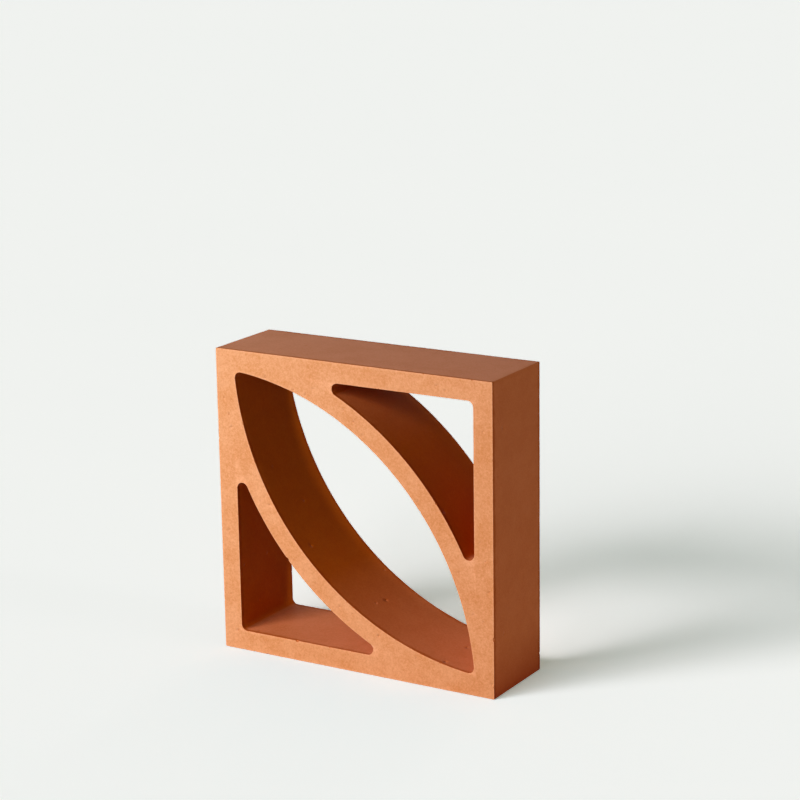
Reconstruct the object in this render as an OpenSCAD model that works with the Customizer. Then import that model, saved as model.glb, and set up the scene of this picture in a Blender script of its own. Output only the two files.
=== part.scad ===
// Breeze block: a square screen block cast in one piece.
// Two curved ribs cross the face from corner to corner. Between them is a leaf-shaped opening, and
// each rib leaves a three-sided opening in the corner outside it. All openings go right through.
// The block stands on its lower edge: X is the width, Y the depth and Z the height.

/* [Block] */
// Width and height of the square face
side = 300; // [240:1:400]
// Depth from the front face to the back face
depth = 90; // [40:1:150]

/* [Walls] */
// Thickness of the straight walls beside the corner openings
wall_t = 20; // [12:0.5:28]
// Thickness of the curved ribs
rib_t = 20; // [12:0.5:28]

/* [Rounding] */
// Radius at the two tips of the leaf-shaped opening
leaf_tip_r = 6; // [2:0.5:12]
// Radius at the two narrow tips of each corner opening
corner_tip_r = 6; // [2:0.5:12]
// Radius at the square corner of each corner opening
square_corner_r = 6; // [2:0.5:20]

/* [Hidden] */
$fn = 192;

// Each rib is a quarter ring about the face's corner opposite it, and reaches the two other corners.
rib_outer_r = side;
rib_inner_r = rib_outer_r - rib_t;
// The walls' inner sides lie this far from the opposite edge of the face.
wall_inner = side - wall_t;
// A cut runs this far past each face that it opens.
past = 1;

// Both ribs' inner sides, meeting at two rounded tips. Centred, with its length along Y.
module leaf_opening() {
    // From the middle of the face to the centre of either rib
    half_diagonal = side * sqrt(2) / 2;
    tip_y = sqrt(pow(rib_inner_r - leaf_tip_r, 2) - pow(half_diagonal, 2));
    // The rounding of a tip begins at this distance from the middle.
    tangent_y = tip_y * rib_inner_r / (rib_inner_r - leaf_tip_r);
    intersection() {
        translate([-half_diagonal, 0]) circle(rib_inner_r);
        translate([half_diagonal, 0]) circle(rib_inner_r);
        square([side, 2 * tangent_y], center = true);
    }
    for (end = [-1, 1])
        translate([0, end * tip_y]) circle(leaf_tip_r);
}

// The opening outside one rib, in the face's upper right corner. The origin is the lower left corner.
module corner_opening() {
    // Centre of the upper tip's rounding; the lower tip mirrors it about the diagonal.
    tip = [sqrt(pow(rib_outer_r + corner_tip_r, 2) - pow(wall_inner - corner_tip_r, 2)),
           wall_inner - corner_tip_r];
    // Where that rounding meets the rib
    rib_tangent = tip * rib_outer_r / (rib_outer_r + corner_tip_r);
    square_corner = wall_inner - square_corner_r;
    difference() {
        polygon([[tip.x, wall_inner], [square_corner, wall_inner],
                 [wall_inner, square_corner], [wall_inner, tip.x],
                 [rib_tangent.y, rib_tangent.x], [side / 2, side / 2], rib_tangent]);
        circle(rib_outer_r);
    }
    translate(tip) circle(corner_tip_r);
    translate([tip.y, tip.x]) circle(corner_tip_r);
    translate([square_corner, square_corner]) circle(square_corner_r);
}

// The cast block, with its openings as seen from the front.
module block() {
    color([0.80, 0.47, 0.29])
    difference() {
        translate([-side / 2, -depth / 2, 0]) cube([side, depth, side]);
        // The profiles are drawn on the face and cut through the whole depth.
        translate([0, depth / 2 + past, 0]) rotate([90, 0, 0]) linear_extrude(depth + 2 * past) {
            translate([0, side / 2]) rotate(45) leaf_opening();
            translate([-side / 2, 0]) corner_opening();
            translate([side / 2, side]) rotate(180) corner_opening();
        }
    }
}

block();
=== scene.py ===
"""A cast concrete screen block on a pale floor, lit by three round soft lamps at the front left.

Two low lights lift its right side and its back.
Lengths are in metres, unless a name ends in _MM.
X runs along the block's width, Y through its depth and Z up.
The block's front faces -Y. Its outline is drawn in the XZ plane.
"""

import math
import random

import bmesh
import bpy
import numpy as np
from mathutils import Matrix, Vector, kdtree, noise
from mathutils.geometry import delaunay_2d_cdt


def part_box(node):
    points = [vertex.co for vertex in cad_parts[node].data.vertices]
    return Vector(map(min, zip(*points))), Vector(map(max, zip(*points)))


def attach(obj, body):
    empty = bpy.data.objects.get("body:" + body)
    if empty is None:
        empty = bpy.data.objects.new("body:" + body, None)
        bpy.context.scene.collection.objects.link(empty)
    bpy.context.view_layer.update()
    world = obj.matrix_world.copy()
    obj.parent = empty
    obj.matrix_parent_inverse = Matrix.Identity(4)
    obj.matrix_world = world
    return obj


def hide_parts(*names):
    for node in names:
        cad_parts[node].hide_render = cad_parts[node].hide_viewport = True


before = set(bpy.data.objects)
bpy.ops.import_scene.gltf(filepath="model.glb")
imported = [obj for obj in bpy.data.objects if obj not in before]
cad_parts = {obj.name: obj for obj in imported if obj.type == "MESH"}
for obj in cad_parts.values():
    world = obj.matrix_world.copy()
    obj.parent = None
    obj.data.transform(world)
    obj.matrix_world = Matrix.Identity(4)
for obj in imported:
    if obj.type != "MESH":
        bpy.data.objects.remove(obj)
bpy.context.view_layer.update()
MM = 0.001

# ---------------------------------------------------------------- driving sizes
LOW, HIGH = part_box("block")
SIDE = HIGH.z - LOW.z
HALF = SIDE / 2
DEPTH = HIGH.y - LOW.y

WALL = 20 * MM            # straight outer walls
RIB = 20 * MM             # curved ribs
TIP_R = 6 * MM            # roundings of every opening
OUTER_CORNER_R = 0.8 * MM     # the four long outer edges

ARRIS = 0.4 * MM          # rounding where the faces meet the sides, before wear
ARRIS_WANDER = 0.45       # how much that rounding varies along an edge, by this share
ARRIS_WAVES = 90          # and how often, per metre
GUARD = 0.45 * MM         # flat strip beside each arris that keeps its shading narrow
FACE_GRID = 2.3 * MM      # spacing of the mesh on the front and back faces
SIDE_GRID = 3.0 * MM      # spacing on the outer sides and inside the openings
RIM_STEP = 1.6 * MM       # spacing along the straight and wide-curved edges
TIP_STEP = 0.6 * MM       # spacing along the small roundings
ROUNDING_STEP = 1.1 * MM  # spacing round them between the two rims
ROUNDING_ROW = 1.5 * MM   # and from front to back
GRID_WANDER = 0.12        # how far each point of a grid is moved at random, by its spacing
GRID_GAP = 0.62           # least space between a point of a grid and the other points, by its spacing
SEAM_GAP = 0.4            # and between it and the seam of an unrolled surface, by its spacing
GUARD_GAP = 0.6           # least space between a guard point and the rim, by the guard strip's width
RIM_SEED = 11             # where the random draws start for the rims, the sides and the faces
SIDE_SEED = 35
FACE_SEED = 51

RELIEF = 0.07 * MM        # how far the cast surface wanders inwards
# What the relief is made of: waves per metre, share of the relief, and an offset that sets each apart.
RELIEF_WAVES = [
    (28, 0.28, (0, 0, 0)),
    (110, 0.14, (7, 3, 1)),
    (330, 0.08, (1, 9, 4)),
]

FACE_PITS = 45                # blowholes on the front, and as many on the back
PITS_PER_SQUARE_METRE = 170   # blowholes on the other surfaces
PIT_GAP = 5 * MM              # least space between two of them
PIT_TO_EDGE = 2 * MM          # and between one of them and an edge
PIT_TRIES = 6                 # places tried for each
LEAST_PIT_MM = 0.20           # the smallest one's radius
PIT_SPREAD_MM = 0.55          # how much larger the largest can be
PIT_SIDES = 8
PIT_WOBBLE = (0.8, 1.2)       # how uneven its rim is, by its radius
PIT_DEPTH = (0.7, 1.2)        # its depth, by its radius
PIT_WALL = (0.78, 0.62)       # where its wall turns into its bottom, by its radius and by its depth

# ---------------------------------------------------------------- colours
FACE_COLOUR = (0.768, 0.318, 0.137)     # the front and the back, open to the air while the block set
OUTSIDE_COLOUR = (0.578, 0.152, 0.042)  # the outer sides, which set against the mould's walls; deeper than the faces, partly as painted shade
INSIDE_SHADED_COLOUR = (0.557, 0.106, 0.004)   # the openings: a darker, deeper copy of the outer sides' colour, painted shade in the recesses
FACE_TURN = (0.55, 0.9)           # the Y of its normal at which a surface starts to count as a face, and does
PAINTED_TOP_SHEEN = (0.085, 0.079, 0.064)      # painted sheen and light, added to the colour of the moulded surfaces that face up
UP_TURN = (0.75, 1.0)             # the Z of its normal at which a surface starts to get the painted sheen, and gets it all
FACE_RUB = (0.11, 0.17, 0.30)     # the faces are rubbed paler beside their arrises, by this share
SIDE_RUB = (-0.24, -0.42, -0.70)  # and the other surfaces are darker there
FACE_RUB_SPAN = (0.0, 2.2 * MM)   # how far in the rub starts to fade and where it ends
SIDE_RUB_SPAN = (2.0 * MM, 4.8 * MM)
RUB_WANDER = 0.8 * MM             # how unevenly both end
PAINTED_FALLOFF_RIGHT = (-0.030, -0.070, -0.095)    # painted falloff of the light: how the colour darkens from the middle to the right
PAINTED_FALLOFF_UP = (-0.070, -0.040, -0.020)       # and from the middle to the top
FOOT_SHADE = (0.57, 0.24, 0.04)   # painted shade: the outer sides darken to this share where they stand on the floor
FOOT_HEIGHT = 52 * MM             # how far up the darkening reaches
SAND_TINT = (0.52, 0.97, 1.75)    # the darker grains are redder and the lighter ones paler
FACE_SPECKLE = 0.095              # how far the grains and patches stray from the colour
SIDE_SPECKLE = 0.055
GLOSS = 0.03                      # specular level of the dull cement skin, where 0.5 is glass
ROUGHNESS = (0.46, 0.58)
FACE_BUMP = 0.55                  # how much of the bump shows on the faces
SIDE_BUMP = 0.12                  # and on the other surfaces
BUMP_HEIGHT = 0.12 * MM
COARSE_BUMP = 1.2                 # the coarse part of the bump over the fine part

# The concrete's noises: features per metre, octaves, roughness, and an offset that sets each apart.
PATCH_NOISE = (28, 5, 0.85, 0.0)
SAND_NOISE = (520, 2, 0.8, 3.0)
SHEEN_NOISE = (400, 2, 0.5, 5.0)
COARSE_NOISE = (320, 2, 0.5, 13.0)
FINE_NOISE = (1100, 4, 0.6, 11.0)
PATCH_RANGE = (0.4, 0.6)          # the part of the patches' noise that is stretched to -1 to 1
GRAIN_RANGE = (0.3, 0.7)          # the part of the sand's and the sheen's noise that is stretched
SAND_REACH = 1.6                  # how much further than the patches the sand goes

# ---------------------------------------------------------------- floor and light
FLOOR_HALF = 30.0
FLOOR_TONE = (0.871, 0.888, 0.863)    # the floor and the backdrop, as the camera sees them
FLOOR_BOUNCE = 0.43                   # how much of the light the floor gives back to the block
SHADOW_DEPTH = (0.775, 0.718, 0.760)  # how much of the floor's tone comes from light that can be shadowed
# Light that the block sends back to the floor, from the solid foot of the front, the whole front, the left
# side and the right side. The tone that the camera sees is lowered to match, so that the floor looks even.
FROM_FOOT = (0.24, 0.16, 0.09)
FROM_FRONT = (0.35, 0.14, 0.05)
FROM_LEFT = (0.20, 0.06, 0.01)
FROM_RIGHT = (0.22, 0.06, 0.02)
NEAREST_TO_WALL = 0.5 * MM            # closer than this to a side, the light it sends back stays the same
AMBIENT = 0.05                        # light from all round, as a share of full white
# Round soft lamps about the block: azimuth to the left of the front face's middle, elevation and angular
# radius, all in degrees, and the share of full white that each gives a surface facing it at the block.
LAMP_DISTANCE = 2.0
LAMPS = {
    "left": (34, 29, 8, 0.305),
    "key": (24.5, 30, 9.6, 0.211),
    "front": (8, 26, 18, 0.476),
}
# Lights on the horizon, measured in the same way, that lift one side each and hardly reach the floor.
LOW_LIGHTS = {
    "right": (-92, 0.5, 5, 0.485),
    "back": (176, 0.5, 5, 0.40),
}
DISC_STEPS = 400                      # points over the disc of a low light

# ---------------------------------------------------------------- camera
CAMERA_AT = Vector((1.1422, -1.8376, 0.8045))
CAMERA_AZIMUTH = math.radians(31.259)     # to the right of the front face's middle
CAMERA_ELEVATION = math.radians(14.233)
CAMERA_ROLL = math.radians(-0.92)
LENS_MM = 107.1
SENSOR_MM = 36


def add_camera():
    """A long lens, slightly above and to the right of the block."""
    az, el, roll = CAMERA_AZIMUTH, CAMERA_ELEVATION, CAMERA_ROLL
    back = Vector((math.sin(az) * math.cos(el), -math.cos(az) * math.cos(el), math.sin(el)))
    level_right = Vector((math.cos(az), math.sin(az), 0))
    level_up = back.cross(level_right)
    right = level_right * math.cos(roll) + level_up * math.sin(roll)
    up = back.cross(right)
    data = bpy.data.cameras.new("camera")
    data.lens = LENS_MM
    data.sensor_width = SENSOR_MM
    camera = bpy.data.objects.new("camera", data)
    turned = Matrix((right, up, back)).transposed().to_4x4()
    camera.matrix_world = Matrix.Translation(CAMERA_AT) @ turned
    bpy.context.scene.collection.objects.link(camera)
    bpy.context.scene.camera = camera


# ---------------------------------------------------------------- outlines
class Outline:
    """A closed run of lines and arcs in the XZ plane, measured along its length.

    The open side is always on the left of the direction of travel, so the normal on the left points
    out of the concrete. A piece is ("line", start, end) or ("arc", centre, radius, from, to), in radians.
    """

    def __init__(self, pieces):
        self.pieces = pieces
        self.ends = [0.0]
        for piece in pieces:
            self.ends.append(self.ends[-1] + self.length_of(piece))
        self.length = self.ends[-1]

    @staticmethod
    def length_of(piece):
        if piece[0] == "line":
            return math.dist(piece[1], piece[2])
        return piece[2] * abs(piece[4] - piece[3])

    def at(self, along):
        """The point and the outward normal at a distance along the outline."""
        i = 0
        while i < len(self.pieces) - 1 and along >= self.ends[i + 1]:
            i += 1
        piece = self.pieces[i]
        share = (along - self.ends[i]) / (self.ends[i + 1] - self.ends[i])
        if piece[0] == "line":
            (ax, az), (bx, bz) = piece[1], piece[2]
            run = math.dist(piece[1], piece[2])
            point = (ax + (bx - ax) * share, az + (bz - az) * share)
            return point, (-(bz - az) / run, (bx - ax) / run)
        _, (cx, cz), radius, start, end = piece
        angle = start + (end - start) * share
        ray = (math.cos(angle), math.sin(angle))
        inward = -1 if end > start else 1
        return (cx + ray[0] * radius, cz + ray[1] * radius), (ray[0] * inward, ray[1] * inward)

    def roundings(self):
        """Where each small rounding starts and ends along the outline."""
        return [(start, end) for piece, start, end in zip(self.pieces, self.ends, self.ends[1:])
                if piece[0] == "arc" and piece[2] <= TIP_R]

    def stations(self):
        """Distances along the outline for the mesh, closer together on the small roundings."""
        found = []
        for piece, start, end in zip(self.pieces, self.ends, self.ends[1:]):
            small = piece[0] == "arc" and piece[2] <= TIP_R
            step = TIP_STEP if small else RIM_STEP
            count = max(2, round((end - start) / step))
            found += [start + (end - start) * k / count for k in range(count)]
        return found


def direction(from_point, to_point):
    """The angle of the line from one point to another."""
    return math.atan2(to_point[1] - from_point[1], to_point[0] - from_point[0])


def outer_outline():
    """The block's square outside, clockwise."""
    r = OUTER_CORNER_R
    left, right, bottom, top = -HALF, HALF, LOW.z, LOW.z + SIDE
    turn = math.pi / 2
    return Outline([
        ("line", (left, bottom + r), (left, top - r)),
        ("arc", (left + r, top - r), r, 2 * turn, turn),
        ("line", (left + r, top), (right - r, top)),
        ("arc", (right - r, top - r), r, turn, 0),
        ("line", (right, top - r), (right, bottom + r)),
        ("arc", (right - r, bottom + r), r, 0, -turn),
        ("line", (right - r, bottom), (left + r, bottom)),
        ("arc", (left + r, bottom + r), r, -turn, -2 * turn),
    ])


def leaf_outline():
    """The leaf between the two ribs, anticlockwise. Each long side is an arc about an opposite corner."""
    radius = SIDE - RIB
    low_left = (-HALF, LOW.z)
    high_right = (HALF, LOW.z + SIDE)
    along = math.sqrt((radius - TIP_R) ** 2 - 2 * HALF ** 2) / math.sqrt(2)
    high_tip = (-along, LOW.z + HALF + along)
    low_tip = (along, LOW.z + HALF - along)
    whole_turn = 2 * math.pi
    return Outline([
        ("arc", low_left, radius, direction(low_left, low_tip), direction(low_left, high_tip)),
        ("arc", high_tip, TIP_R, direction(low_left, high_tip), direction(high_right, high_tip) + whole_turn),
        ("arc", high_right, radius, direction(high_right, high_tip), direction(high_right, low_tip)),
        ("arc", low_tip, TIP_R, direction(high_right, low_tip), direction(low_left, low_tip)),
    ])


def corner_outline(turned):
    """The three-sided opening in the upper right corner, or the one in the lower left, anticlockwise."""
    radius = SIDE
    inner = SIDE - WALL
    tip = (math.sqrt((radius + TIP_R) ** 2 - (inner - TIP_R) ** 2), inner - TIP_R)
    tilt = math.atan2(tip[1], tip[0])
    turn = math.pi if turned else 0.0

    def place(x, z):
        """From the lower left corner of the face to the row's frame."""
        x, z = x - HALF, z - HALF
        return (-x, LOW.z + HALF - z) if turned else (x, LOW.z + HALF + z)

    quarter = math.pi / 2
    return Outline([
        ("line", place(inner, tip[0]), place(inner, inner - TIP_R)),
        ("arc", place(inner - TIP_R, inner - TIP_R), TIP_R, turn, turn + quarter),
        ("line", place(inner - TIP_R, inner), place(tip[0], inner)),
        ("arc", place(*tip), TIP_R, turn + quarter, turn + tilt + math.pi),
        ("arc", place(0, 0), radius, turn + tilt, turn + quarter - tilt),
        ("arc", place(tip[1], tip[0]), TIP_R, turn + quarter - tilt + math.pi, turn + 2 * math.pi),
    ])


def depth_into_face(x, z):
    """How far a point of the face lies from the nearest edge, and below 0 in an opening."""
    z = z - LOW.z
    from_low = np.hypot(x + HALF, z)
    from_high = np.hypot(HALF - x, SIDE - z)
    outside = np.minimum(HALF - np.abs(x), np.minimum(z, SIDE - z))
    leaf = np.maximum(from_low, from_high) - (SIDE - RIB)
    upper = np.minimum(from_low - SIDE, np.minimum(HALF - WALL - x, SIDE - WALL - z))
    lower = np.minimum(from_high - SIDE, np.minimum(HALF - WALL + x, z - WALL))
    return np.minimum(np.minimum(outside, leaf), np.minimum(-upper, -lower))


# ---------------------------------------------------------------- wear
class Chips:
    """Small nicks knocked out of one edge: where they are along it, how long and how deep."""

    PER_METRE = 34                # tried, before those near a small rounding are left out
    CLEAR_OF_CORNERS = 2.5 * MM   # how far they stay from those
    HALF_LENGTH_MM = (0.3, 1.1)
    LONG_SHARE = 0.08             # of them are longer
    LONG_STRETCH = 1.8            # by this much
    DEPTH = (0.45, 0.9)           # by their half length
    BITE_WANDER = 0.25            # how uneven they are, by their depth
    BITE_WAVES = 2500             # and how often, per metre

    def __init__(self, outline, seed):
        rng = random.Random(seed)
        corners = [end for span in outline.roundings() for end in span]
        self.seed = seed
        self.nicks = []
        for _ in range(round(outline.length * self.PER_METRE)):
            at = rng.uniform(0, outline.length)
            half = rng.uniform(*self.HALF_LENGTH_MM) * MM
            half *= self.LONG_STRETCH if rng.random() < self.LONG_SHARE else 1
            depth = half * rng.uniform(*self.DEPTH)
            if all(abs(at - c) > half + self.CLEAR_OF_CORNERS for c in corners):
                self.nicks.append((at, half, depth))

    def stations(self):
        """Extra places along the edge, so that each nick has its own points."""
        return [at + half * k / 3 for at, half, _ in self.nicks for k in (-3, -2, -1, 0, 1, 2, 3)]

    def at(self, along):
        """How far the arris reaches at this place, and how much of it is broken rather than rounded."""
        soft = noise.noise(Vector((along * ARRIS_WAVES, self.seed, 0.5)))
        reach, broken = ARRIS * (1 + ARRIS_WANDER * soft), 0.0
        for at, half, depth in self.nicks:
            near = abs(along - at) / half
            if near < 1:
                uneven = noise.noise(Vector((along * self.BITE_WAVES, at, 1)))
                bite = depth * math.sqrt(1 - near ** 2) * (1 + self.BITE_WANDER * uneven)
                if bite > reach:
                    reach, broken = bite, 1.0
        return reach, broken


# ---------------------------------------------------------------- mesh
class Shell:
    """Collects the points and triangles of one closed mesh. Each point keeps its outward normal."""

    def __init__(self):
        self.points = []
        self.outward = []
        self.faces = []

    def add(self, point, normal):
        self.points.append(Vector(point))
        self.outward.append(Vector(normal))
        return len(self.points) - 1

    def strip(self, row, next_row):
        """Joins two closed rows of the same number of points."""
        n = len(row)
        for k in range(n):
            j = (k + 1) % n
            self.faces.append((row[k], row[j], next_row[j]))
            self.faces.append((row[k], next_row[j], next_row[k]))

    def fill(self, flat, ids, borders):
        """Triangulates between closed borders. flat holds each point's place on the unrolled surface."""
        inside_with_holes = 2
        tolerance = 1e-9
        result = delaunay_2d_cdt([Vector(p) for p in flat], [], borders, inside_with_holes, tolerance)
        origins = [origin[0] for origin in result[3]]
        for face in result[2]:
            self.faces.append(tuple(ids[origins[k]] for k in face))


class Rim:
    """The worn arris along one outline, between one face and the surface that the outline sweeps."""

    STRIPS = 3
    LEAST_STEP = 0.12 * MM        # along the edge
    HOLLOW = 0.16                 # how far a broken arris is hollowed out, by its reach

    def __init__(self, shell, outline, face_y, seed):
        chips = Chips(outline, seed)
        self.into = 1 if face_y < 0 else -1
        self.stations = thinned(sorted(outline.stations() + chips.stations()), self.LEAST_STEP)
        self.rows = [[] for _ in range(self.STRIPS + 1)]
        self.face_guards = []
        self.side_guards = []
        for along in self.stations:
            (x, z), (nx, nz) = outline.at(along)
            reach, broken = chips.at(along)
            for k, row in enumerate(self.rows):
                across, down, tilt = self.section(k / self.STRIPS, broken)
                normal = (nx * math.sin(tilt), -self.into * math.cos(tilt), nz * math.sin(tilt))
                in_x, in_z = nx * reach * across, nz * reach * across
                place = (x - in_x, face_y + self.into * reach * down, z - in_z)
                row.append(shell.add(place, normal))
            self.face_guards.append((x - nx * (reach + GUARD), z - nz * (reach + GUARD)))
            self.side_guards.append((along, face_y + self.into * (reach + GUARD)))
        for row, next_row in zip(self.rows, self.rows[1:]):
            shell.strip(row, next_row)

    def section(self, t, broken):
        """The arris in section, from the face (t = 0) to the side (t = 1).

        It is round, or hollow where it is broken.
        """
        tilt = math.pi / 2 * t
        hollow = self.HOLLOW * math.sin(math.pi * t)
        across = (1 - broken) * (1 - math.sin(tilt)) + broken * (1 - t + hollow)
        down = (1 - broken) * (1 - math.cos(tilt)) + broken * (t + hollow)
        return across, down, tilt

    @property
    def face_row(self):
        return self.rows[0]

    @property
    def side_row(self):
        return self.rows[-1]


def thinned(values, gap):
    """Sorted values without those that lie too near the one before."""
    kept = values[:1]
    for value in values[1:]:
        if value - kept[-1] >= gap:
            kept.append(value)
    return kept


def far_from(points, taken, gap):
    """The points that lie at least gap from every taken one."""
    tree = kdtree.KDTree(len(taken))
    for k, (u, v) in enumerate(taken):
        tree.insert((u, v, 0), k)
    tree.balance()
    return [p for p in points if tree.find((p[0], p[1], 0))[2] >= gap]


def hex_grid(low, high, step, rng):
    """Staggered points over a rectangle, each moved a little at random."""
    (u0, v0), (u1, v1) = low, high
    row_step = step * math.sqrt(3) / 2
    wander = GRID_WANDER * step
    points = []
    for row in range(int((v1 - v0) / row_step) + 1):
        for k in range(int((u1 - u0) / step) + 1):
            u = u0 + (k + 0.5 * (row % 2)) * step + rng.uniform(-wander, wander)
            v = v0 + row * row_step + rng.uniform(-wander, wander)
            points.append((u, v))
    return points


def scatter_pits(rng, count, low, high, room):
    """Blowholes left by trapped air: (u, v, radius). room(u, v) is the distance to the nearest edge."""
    pits = []
    for _ in range(count * PIT_TRIES):
        u, v = rng.uniform(low[0], high[0]), rng.uniform(low[1], high[1])
        radius = (LEAST_PIT_MM + PIT_SPREAD_MM * rng.random() ** 3) * MM
        apart = all(math.hypot(u - a, v - b) > radius + r + PIT_GAP for a, b, r in pits)
        if apart and len(pits) < count and room(u, v) > radius + PIT_TO_EDGE:
            pits.append((u, v, radius))
    return pits


def pit_points(pit, rng):
    """A blowhole's bottom, its uneven rim and its wall: (u, v, depth)."""
    u, v, radius = pit
    turn = rng.uniform(0, math.pi)
    depth = radius * rng.uniform(*PIT_DEPTH)
    wobble = [rng.uniform(*PIT_WOBBLE) for _ in range(PIT_SIDES)]
    points = [(u, v, depth)]
    rim = (1.0, 0.0)
    for share, down in (rim, PIT_WALL):
        for k in range(PIT_SIDES):
            angle = turn + 2 * math.pi * k / PIT_SIDES
            r = radius * share * wobble[k]
            points.append((u + r * math.cos(angle), v + r * math.sin(angle), depth * down))
    return points


def fill_sheet(shell, flat, ids, borders, guards, grid, step, pits, place, rng):
    """Fills an unrolled surface: guard points beside its borders, then blowholes, then a grid.

    place(u, v) gives the point on the block and the outward normal there.
    """
    inner = [(u, v, 0.0) for u, v in far_from(guards, flat, GUARD_GAP * GUARD)]
    for pit in pits:
        inner += pit_points(pit, rng)
    taken = flat + [(u, v) for u, v, _ in inner]
    inner += [(u, v, 0.0) for u, v in far_from(grid, taken, GRID_GAP * step)]
    for u, v, depth in inner:
        point, normal = place(u, v)
        point = Vector(point) - Vector(normal) * depth
        ids.append(shell.add(point, normal))
        flat.append((u, v))
    shell.fill(flat, ids, borders)


def fill_face(shell, rims, face_y, seed):
    """The front or the back, between the outer rim and those of the openings."""
    rng = random.Random(seed)
    into = 1 if face_y < 0 else -1
    flat, ids, borders, guards = [], [], [], []
    for rim in rims:
        borders.append(list(range(len(ids), len(ids) + len(rim.face_row))))
        ids += rim.face_row
        flat += [(shell.points[i].x, shell.points[i].z) for i in rim.face_row]
        guards += rim.face_guards
    low, high = (-HALF, LOW.z), (HALF, HIGH.z)
    grid = [p for p in hex_grid(low, high, FACE_GRID, rng) if depth_into_face(*p) > GUARD]
    pits = scatter_pits(rng, FACE_PITS, low, high, depth_into_face)
    fill_sheet(shell, flat, ids, borders, guards, grid, FACE_GRID, pits,
               lambda x, z: ((x, face_y, z), (0, -into, 0)), rng)


def rounding_rows(outline):
    """Points on the unrolled surface that keep the small roundings round between the two rims."""
    rows = round(DEPTH / ROUNDING_ROW)
    points = []
    for start, end in outline.roundings():
        steps = max(2, round((end - start) / ROUNDING_STEP))
        for k in range(steps + 1):
            along = start + (end - start) * k / steps
            points += [(along, LOW.y + DEPTH * row / rows) for row in range(1, rows)]
    return points


def fill_side(shell, outline, front, back, seed):
    """The surface that one outline sweeps from the front rim to the back one, unrolled along it."""
    rng = random.Random(seed)
    seam_point, seam_normal = outline.at(0)
    seam_rows = round(DEPTH / SIDE_GRID)
    seam_y = [LOW.y + DEPTH * k / seam_rows for k in range(1, seam_rows)]
    outward = (seam_normal[0], 0, seam_normal[1])
    seam = [shell.add((seam_point[0], y, seam_point[1]), outward) for y in seam_y]
    front_flat = [(s, shell.points[i].y) for s, i in zip(front.stations, front.side_row)]
    back_flat = [(s, shell.points[i].y) for s, i in zip(back.stations, back.side_row)]
    end = outline.length
    flat = front_flat + [(end, front_flat[0][1])] + [(end, y) for y in seam_y]
    flat += [(end, back_flat[0][1])] + back_flat[::-1] + [(0, y) for y in seam_y[::-1]]
    ids = front.side_row + [front.side_row[0]] + seam
    ids += [back.side_row[0]] + back.side_row[::-1] + seam[::-1]
    borders = [list(range(len(flat)))]

    def room(s, y):
        beside_rounding = min(max(start - s, s - stop) for start, stop in outline.roundings())
        return min(s, end - s, y - LOW.y, HIGH.y - y, beside_rounding)

    def place(s, y):
        (x, z), (nx, nz) = outline.at(s)
        return (x, y, z), (nx, 0, nz)

    low, high = (0, LOW.y), (end, HIGH.y)
    off_seam = SEAM_GAP * SIDE_GRID
    grid = [p for p in hex_grid(low, high, SIDE_GRID, rng)
            if off_seam < p[0] < end - off_seam and LOW.y + GUARD < p[1] < HIGH.y - GUARD]
    pits = scatter_pits(rng, round(end * DEPTH * PITS_PER_SQUARE_METRE), low, high, room)
    guards = front.side_guards + back.side_guards + rounding_rows(outline)
    guards = [g for g in guards if GUARD < g[0] < end - GUARD]
    fill_sheet(shell, flat, ids, borders, guards, grid, SIDE_GRID, pits, place, rng)


def cast_relief(point):
    """How far the surface lies inwards of the true block at a point."""
    depth = 0.5
    for waves, share, offset in RELIEF_WAVES:
        depth += share * noise.noise(point * waves + Vector(offset))
    return RELIEF * depth


def from_edge(point, normal):
    """How far a point of the skin lies from the nearest arris between a face and what meets it."""
    on_face = abs(normal.y) > 0.9
    on_side = abs(normal.y) < 0.1
    if on_face:
        return float(depth_into_face(point.x, point.z))
    if on_side:
        return min(point.y - LOW.y, HIGH.y - point.y)
    return 0.0


def build_block():
    """The block as one closed mesh, with worn arrises, blowholes and a slightly uneven skin."""
    shell = Shell()
    outlines = [outer_outline(), leaf_outline(), corner_outline(False), corner_outline(True)]
    rims = {LOW.y: [], HIGH.y: []}
    for number, outline in enumerate(outlines):
        pair = [Rim(shell, outline, y, RIM_SEED + 2 * number + k) for k, y in enumerate((LOW.y, HIGH.y))]
        rims[LOW.y].append(pair[0])
        rims[HIGH.y].append(pair[1])
        fill_side(shell, outline, *pair, SIDE_SEED + number)
    for number, face_y in enumerate(rims):
        fill_face(shell, rims[face_y], face_y, FACE_SEED + number)

    points = [p - n * cast_relief(p) for p, n in zip(shell.points, shell.outward)]
    mesh = bpy.data.meshes.new("cast_block")
    mesh.from_pydata(points, [], shell.faces)
    distances = [from_edge(p, n) for p, n in zip(shell.points, shell.outward)]
    mesh.attributes.new("from_edge", "FLOAT", "POINT").data.foreach_set("value", distances)
    mesh.validate()
    edit = bmesh.new()
    edit.from_mesh(mesh)
    bmesh.ops.recalc_face_normals(edit, faces=edit.faces)
    edit.to_mesh(mesh)
    edit.free()
    mesh.shade_smooth()
    block = bpy.data.objects.new("cast_block", mesh)
    bpy.context.scene.collection.objects.link(block)
    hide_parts("block")
    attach(block, "root")
    return block


# ---------------------------------------------------------------- materials
def node(tree, kind, inputs=None, **settings):
    """Adds a shader node, sets its properties, and sets or links its inputs."""
    made = tree.nodes.new(kind)
    for name, value in settings.items():
        setattr(made, name, value)
    for name, value in (inputs or {}).items():
        socket = made.inputs[name]
        if isinstance(value, bpy.types.NodeSocket):
            tree.links.new(value, socket)
        else:
            socket.default_value = value
    return made


def calc(tree, operation, *values):
    """One step of arithmetic on numbers or sockets."""
    return node(tree, "ShaderNodeMath", dict(enumerate(values)), operation=operation).outputs[0]


def vector(tree, operation, *values):
    """One step of arithmetic on colours, places or sockets."""
    return node(tree, "ShaderNodeVectorMath", dict(enumerate(values)), operation=operation).outputs[0]


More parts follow.
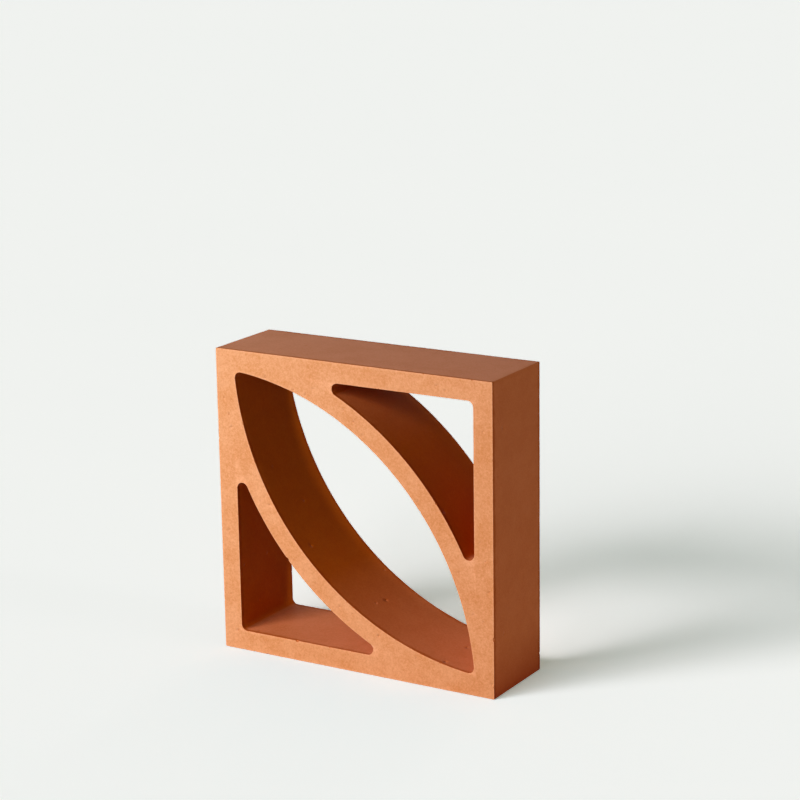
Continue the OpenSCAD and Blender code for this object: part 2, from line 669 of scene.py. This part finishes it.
def grain(tree, place, scale, detail, rough, offset):
    """Noise centred on 0.5 over the block, in features per metre."""
    return node(tree, "ShaderNodeTexNoise", {
        "Vector": vector(tree, "ADD", place, (offset, offset, offset)),
        "Scale": scale, "Detail": detail, "Roughness": rough,
    }).outputs["Fac"]


def spread(tree, value, low, high, to_low, to_high):
    """Maps a value from one range to another, held at its ends."""
    return node(tree, "ShaderNodeMapRange", {
        "Value": value, "From Min": low, "From Max": high, "To Min": to_low, "To Max": to_high,
    }).outputs["Result"]


def mixed(tree, share, low, high):
    """Blends two numbers by a share between 0 and 1."""
    return spread(tree, share, 0.0, 1.0, low, high)


def weigh(tree, colour, share, base):
    """colour * share + base, for colours or sockets."""
    return vector(tree, "MULTIPLY_ADD", colour, share, base)


def blend(tree, share, low, high):
    """Blends two constant colours by a share between 0 and 1."""
    return weigh(tree, [h - l for l, h in zip(low, high)], share, low)


def concrete_material():
    """Pigmented cast concrete: sandy and paler on the front and back, smooth and deeper elsewhere, with
    painted light and shade.
    """
    material = bpy.data.materials.new("cast_concrete")
    material.use_nodes = True
    tree = material.node_tree
    shader = tree.nodes["Principled BSDF"]
    coordinates = node(tree, "ShaderNodeTexCoord").outputs
    place = coordinates["Object"]
    white = (1, 1, 1)

    facing = node(tree, "ShaderNodeSeparateXYZ", {"Vector": coordinates["Normal"]}).outputs
    on_face = spread(tree, calc(tree, "ABSOLUTE", facing["Y"]), *FACE_TURN, 0.0, 1.0)
    at = node(tree, "ShaderNodeSeparateXYZ", {"Vector": place}).outputs
    across = calc(tree, "MULTIPLY", at["X"], 1 / HALF)
    up = calc(tree, "MULTIPLY_ADD", at["Z"], 1 / HALF, -(LOW.z + HALF) / HALF)
    reach = calc(tree, "MAXIMUM", calc(tree, "ABSOLUTE", across), calc(tree, "ABSOLUTE", up))
    middle_of_wall = 1 - 0.5 * WALL / HALF
    outside = calc(tree, "GREATER_THAN", reach, middle_of_wall)

    # The openings take a darker, deeper copy of the outer sides' colour: painted shade.
    moulded = blend(tree, outside, INSIDE_SHADED_COLOUR, OUTSIDE_COLOUR)
    facing_up = spread(tree, facing["Z"], *UP_TURN, 0.0, 1.0)
    # Painted shade where the outer sides stand on the floor.
    above_foot = spread(tree, at["Z"], LOW.z, LOW.z + FOOT_HEIGHT, 0.0, 1.0)
    clear_of_foot = calc(tree, "MAXIMUM", above_foot, calc(tree, "SUBTRACT", 1.0, outside))
    foot = blend(tree, calc(tree, "SQRT", clear_of_foot), FOOT_SHADE, white)
    # Surfaces that face up get a painted sheen and painted light.
    moulded = weigh(tree, PAINTED_TOP_SHEEN, facing_up, vector(tree, "MULTIPLY", moulded, foot))
    to_face = vector(tree, "SUBTRACT", FACE_COLOUR, moulded)
    colour = weigh(tree, to_face, on_face, moulded)

    # Painted falloff of the light: darker towards the right and the top, lighter towards the left and the
    # bottom.
    light_falloff = weigh(tree, PAINTED_FALLOFF_UP, up, weigh(tree, PAINTED_FALLOFF_RIGHT, across, white))
    edge = node(tree, "ShaderNodeAttribute", attribute_name="from_edge").outputs["Fac"]
    patches = spread(tree, grain(tree, place, *PATCH_NOISE), *PATCH_RANGE, -1.0, 1.0)
    sand = spread(tree, grain(tree, place, *SAND_NOISE), *GRAIN_RANGE, -SAND_REACH, SAND_REACH)
    wandering = calc(tree, "MULTIPLY_ADD", patches, RUB_WANDER, edge)
    fade = [mixed(tree, on_face, *ends) for ends in zip(SIDE_RUB_SPAN, FACE_RUB_SPAN)]
    beside_edge = spread(tree, wandering, *fade, 1.0, 0.0)
    rub = weigh(tree, blend(tree, on_face, SIDE_RUB, FACE_RUB), beside_edge, white)
    speckle = mixed(tree, on_face, SIDE_SPECKLE, FACE_SPECKLE)
    strength = calc(tree, "MULTIPLY", calc(tree, "ADD", patches, sand), speckle)
    grains = weigh(tree, SAND_TINT, strength, white)
    colour_with_falloff = vector(tree, "MULTIPLY", colour, light_falloff)
    tinted = vector(tree, "MULTIPLY", colour_with_falloff, vector(tree, "MULTIPLY", rub, grains))
    tree.links.new(tinted, shader.inputs["Base Color"])

    rough = spread(tree, grain(tree, place, *SHEEN_NOISE), *GRAIN_RANGE, *ROUGHNESS)
    tree.links.new(rough, shader.inputs["Roughness"])
    shader.inputs["Specular IOR Level"].default_value = GLOSS

    fine = grain(tree, place, *FINE_NOISE)
    height = calc(tree, "MULTIPLY_ADD", grain(tree, place, *COARSE_NOISE), COARSE_BUMP, fine)
    bump = node(tree, "ShaderNodeBump", {
        "Height": height, "Strength": mixed(tree, on_face, SIDE_BUMP, FACE_BUMP), "Distance": BUMP_HEIGHT,
    })
    tree.links.new(bump.outputs["Normal"], shader.inputs["Normal"])
    return material


def returned_share(tree, away, along, half_width, height):
    """The share of a floor spot's sky that an upright wall standing on the floor fills: its view factor.

    away is the distance in front of the wall and along the distance from the wall's middle.
    """
    in_front = calc(tree, "GREATER_THAN", away, 0.0)
    away = calc(tree, "MAXIMUM", away, NEAREST_TO_WALL)
    upper = calc(tree, "SQRT", calc(tree, "MULTIPLY_ADD", away, away, height ** 2))

    def spanned(distance):
        """The angle that the wall spans as seen from this distance."""
        ends = [calc(tree, side, half_width, along) for side in ("SUBTRACT", "ADD")]
        angles = [calc(tree, "ARCTANGENT", calc(tree, "DIVIDE", end, distance)) for end in ends]
        return calc(tree, "ADD", *angles)

    beyond = calc(tree, "MULTIPLY", calc(tree, "DIVIDE", away, upper), spanned(upper))
    share = calc(tree, "MULTIPLY", calc(tree, "SUBTRACT", spanned(away), beyond), 1 / (2 * math.pi))
    return calc(tree, "MULTIPLY", share, in_front)


def low_light_on_floor(elevation, radius, share):
    """A low light's share on the floor, where only the part of its disc above the horizon counts."""
    golden_angle = math.pi * (3 - math.sqrt(5))
    total = 0.0
    for k in range(DISC_STEPS):
        rise = elevation + radius * math.sqrt((k + 0.5) / DISC_STEPS) * math.sin(k * golden_angle)
        total += max(0.0, math.sin(math.radians(rise)))
    return share * total / DISC_STEPS


def light_on_floor(tree, place):
    """What the open floor gets from the lights and from the block's sides, as a share of full white."""
    lit = AMBIENT + sum(low_light_on_floor(*light[1:]) for light in LOW_LIGHTS.values())
    for name, (_, _, _, share) in LAMPS.items():
        at = lamp_place(name)
        away = node(tree, "ShaderNodeVectorMath", {0: place, 1: at}, operation="DISTANCE").outputs["Value"]
        strength = share * LAMP_DISTANCE ** 2 * (at.z - LOW.z)
        lit = calc(tree, "MULTIPLY_ADD", calc(tree, "POWER", away, -3.0), strength, lit)

    at = node(tree, "ShaderNodeSeparateXYZ", {"Vector": place}).outputs
    before_front = calc(tree, "SUBTRACT", LOW.y, at["Y"])
    before_left = calc(tree, "SUBTRACT", LOW.x, at["X"])
    before_right = calc(tree, "SUBTRACT", at["X"], HIGH.x)
    walls = [
        (returned_share(tree, before_front, at["X"], HALF, WALL), FROM_FOOT),
        (returned_share(tree, before_front, at["X"], HALF, SIDE), FROM_FRONT),
        (returned_share(tree, before_left, at["Y"], DEPTH / 2, SIDE), FROM_LEFT),
        (returned_share(tree, before_right, at["Y"], DEPTH / 2, SIDE), FROM_RIGHT),
    ]
    total = node(tree, "ShaderNodeCombineXYZ", {"X": lit, "Y": lit, "Z": lit}).outputs[0]
    for share, colour in walls:
        total = weigh(tree, colour, share, total)
    return total


def floor_material():
    """A matt pale floor. The camera sees it at one tone wherever the block casts no shadow."""
    material = bpy.data.materials.new("floor")
    material.use_nodes = True
    tree = material.node_tree
    tree.nodes.clear()
    place = node(tree, "ShaderNodeNewGeometry").outputs["Position"]
    lit_tone = [tone * depth for tone, depth in zip(FLOOR_TONE, SHADOW_DEPTH)]
    even_tone = [tone * (1 - depth) for tone, depth in zip(FLOOR_TONE, SHADOW_DEPTH)]
    tone = vector(tree, "DIVIDE", lit_tone, light_on_floor(tree, place))

    matt = node(tree, "ShaderNodeBsdfDiffuse", {"Color": (FLOOR_BOUNCE,) * 3 + (1,)}).outputs[0]
    shown = node(tree, "ShaderNodeBsdfDiffuse", {"Color": tone}).outputs[0]
    glow = node(tree, "ShaderNodeEmission", {"Color": (*even_tone, 1), "Strength": 1.0}).outputs[0]
    seen = node(tree, "ShaderNodeAddShader", {0: shown, 1: glow}).outputs[0]
    surface = node(tree, "ShaderNodeMixShader", {0: backdrop_ray(tree), 1: matt, 2: seen}).outputs[0]
    node(tree, "ShaderNodeOutputMaterial", {"Surface": surface})
    return material


def backdrop_ray(tree):
    """1 where the camera, or a reflection, looks at the backdrop, and 0 where light is gathered from it."""
    path = node(tree, "ShaderNodeLightPath").outputs
    return calc(tree, "MAXIMUM", path["Is Camera Ray"], path["Is Glossy Ray"])


# ---------------------------------------------------------------- stage
def add_floor():
    mesh = bpy.data.meshes.new("floor")
    corners = [(-1, -1), (1, -1), (1, 1), (-1, 1)]
    mesh.from_pydata([(x * FLOOR_HALF, y * FLOOR_HALF, LOW.z) for x, y in corners], [], [(0, 1, 2, 3)])
    mesh.materials.append(floor_material())
    floor = bpy.data.objects.new("floor", mesh)
    bpy.context.scene.collection.objects.link(floor)


def lamp_direction(azimuth, elevation):
    """From the block towards a lamp. The azimuth runs to the left of the front face's middle."""
    azimuth, elevation = math.radians(azimuth), math.radians(elevation)
    level = math.cos(elevation)
    return Vector((-math.sin(azimuth) * level, -math.cos(azimuth) * level, math.sin(elevation)))


def lamp_place(name):
    azimuth, elevation, _, _ = LAMPS[name]
    return Vector((0, 0, LOW.z + HALF)) + lamp_direction(azimuth, elevation) * LAMP_DISTANCE


def add_lamps():
    for name, (_, _, radius, share) in LAMPS.items():
        data = bpy.data.lights.new(name, "POINT")
        data.energy = share * 4 * math.pi ** 2 * LAMP_DISTANCE ** 2
        data.use_soft_falloff = False
        data.shadow_soft_size = LAMP_DISTANCE * math.tan(math.radians(radius))
        lamp = bpy.data.objects.new(name, data)
        lamp.location = lamp_place(name)
        bpy.context.scene.collection.objects.link(lamp)
    for name, (azimuth, elevation, radius, share) in LOW_LIGHTS.items():
        data = bpy.data.lights.new(name, "SUN")
        data.energy = share * math.pi
        data.angle = math.radians(2 * radius)
        lamp = bpy.data.objects.new(name, data)
        lamp.rotation_euler = lamp_direction(azimuth, elevation).to_track_quat("Z", "Y").to_euler()
        lamp.visible_glossy = False
        bpy.context.scene.collection.objects.link(lamp)


def add_world():
    """Even light from all round, which the camera sees as the floor's tone."""
    world = bpy.data.worlds.new("studio")
    world.use_nodes = True
    tree = world.node_tree
    tree.nodes.clear()
    ambient = node(tree, "ShaderNodeBackground", {"Color": (1, 1, 1, 1), "Strength": AMBIENT}).outputs[0]
    seen = node(tree, "ShaderNodeBackground", {"Color": (*FLOOR_TONE, 1), "Strength": 1.0}).outputs[0]
    surface = node(tree, "ShaderNodeMixShader", {0: backdrop_ray(tree), 1: ambient, 2: seen}).outputs[0]
    node(tree, "ShaderNodeOutputWorld", {"Surface": surface})
    bpy.context.scene.world = world


add_camera()
block = build_block()
block.data.materials.append(concrete_material())
add_floor()
add_lamps()
add_world()
bpy.context.scene.view_settings.view_transform = "Standard"
